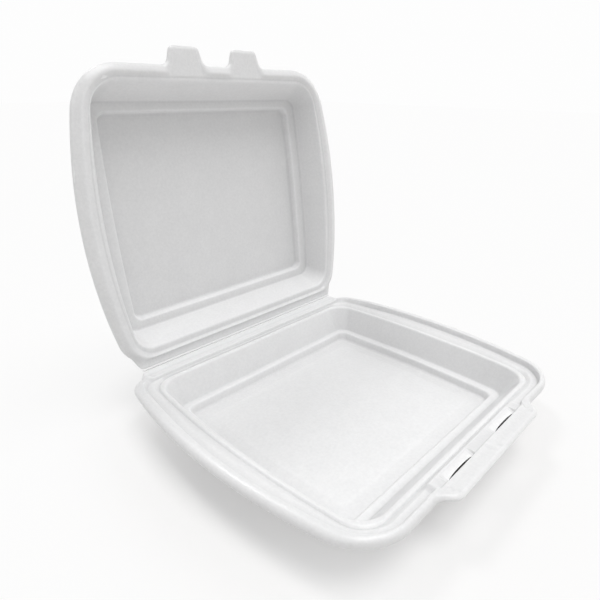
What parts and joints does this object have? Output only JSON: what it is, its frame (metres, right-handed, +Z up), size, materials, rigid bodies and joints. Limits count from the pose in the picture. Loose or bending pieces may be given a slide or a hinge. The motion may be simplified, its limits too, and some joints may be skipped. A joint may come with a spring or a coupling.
{
  "type": "foam clamshell container",
  "caption": "White foam takeaway box: a bowed square tray with a stepped well and a matching lid on a crimped hinge, with tuck-in front tabs and a finger lip.",
  "frame": {"origin": "middle of the tray's flat underside, on the surface that it stands on", "axes": "+Z up out of the tray, +X along the hinge, -Y towards the finger lip at the front"},
  "size_m": [0.24, 0.2603, 0.2319],
  "materials": {
    "foam": "matte white expanded polystyrene foam with a fine skin grain"
  },
  "bodies": {
    "base": {"base_tray": "foam"},
    "lid": {"lid": "foam"}
  },
  "joints": [
    {"name": "lid_hinge", "type": "hinge", "parent": "base", "child": "lid", "pos_m": [0, 0.09741, 0.0312], "axis": [-1, 0, 0], "range_deg": [-98, 82]}
  ]
}
